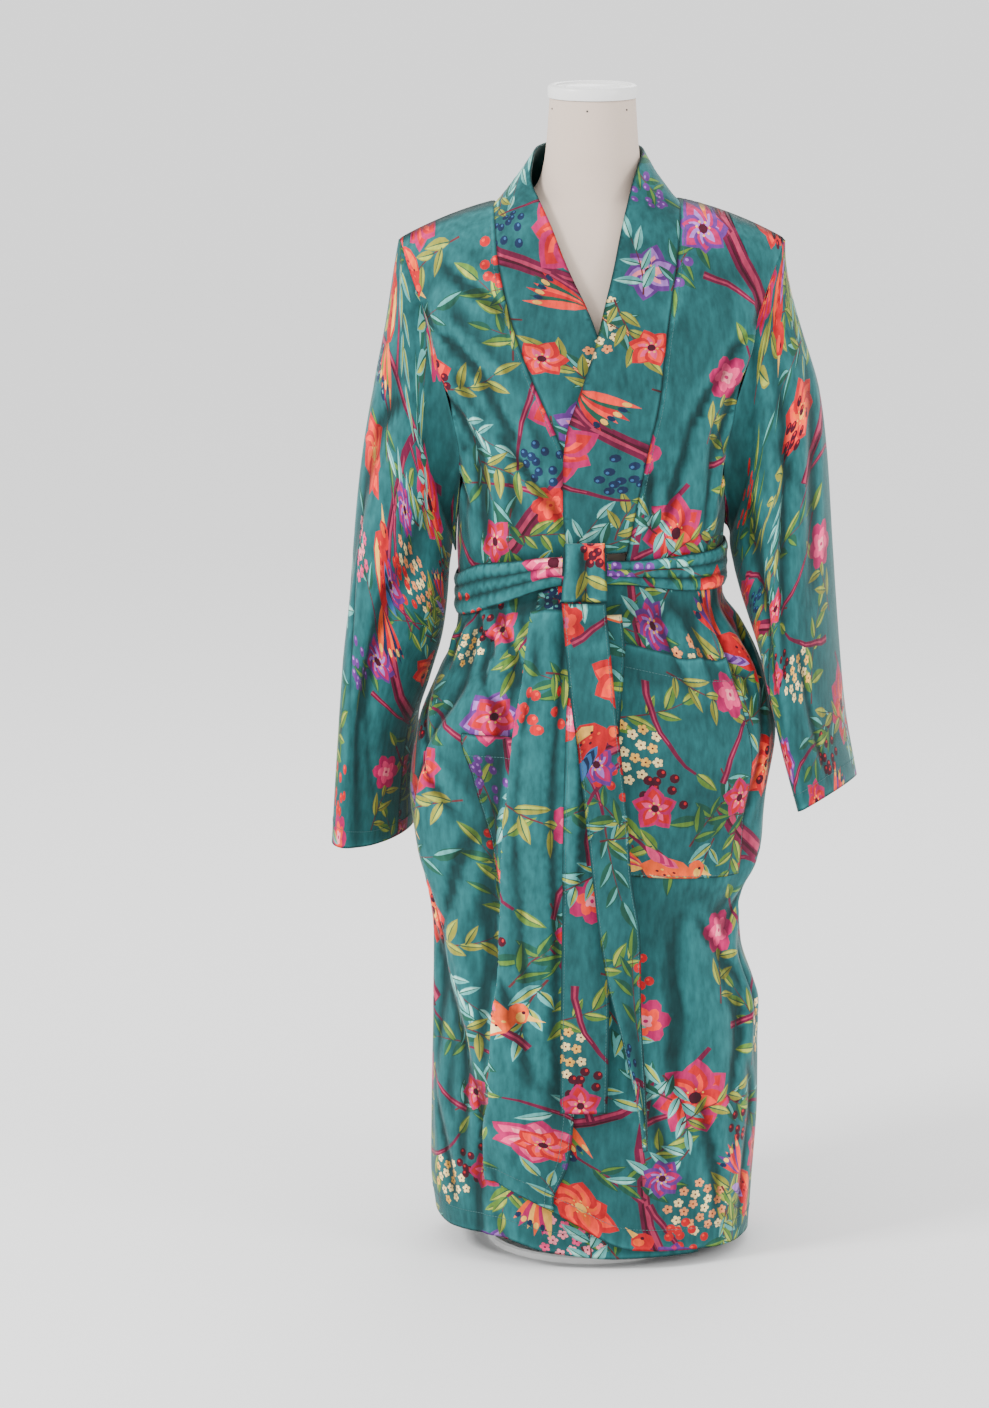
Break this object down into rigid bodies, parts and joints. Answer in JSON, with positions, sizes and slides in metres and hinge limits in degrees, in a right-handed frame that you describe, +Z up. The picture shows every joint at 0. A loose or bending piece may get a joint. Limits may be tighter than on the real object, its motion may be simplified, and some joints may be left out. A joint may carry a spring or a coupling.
{
  "type": "velvet kimono robe with tie belt on a limbless dress form",
  "caption": "Calf-length printed velvet kimono robe with band collar, tie belt and patch pockets, worn on a linen dress form.",
  "frame": {"origin": "centre of the stand's base, on its underside", "axes": "+Z up, -Y out of the robe's front, +X the wearer's left"},
  "size_m": [0.5768, 0.3043, 1.2763],
  "materials": {
    "velvet": "cotton velvet, teal ground with a flower and bird print",
    "linen": "tight linen cover over a smooth form",
    "white_plastic": "smooth moulded neck cap",
    "pale_enamel": "satin enamel on steel"
  },
  "bodies": {
    "root": {"front_left": "velvet", "front_right": "velvet", "back": "velvet", "sleeve_left": "velvet", "sleeve_right": "velvet", "collar_band": "velvet", "front_edge_flap": "velvet", "pocket_left": "velvet", "pocket_right": "velvet", "belt_waist": "velvet", "belt_knot": "velvet", "belt_tail_behind": "velvet", "belt_tail_front": "velvet", "form_torso": "linen", "form_neck_cap": "white_plastic", "form_pole": "pale_enamel", "form_base": "pale_enamel"}
  },
  "joints": []
}
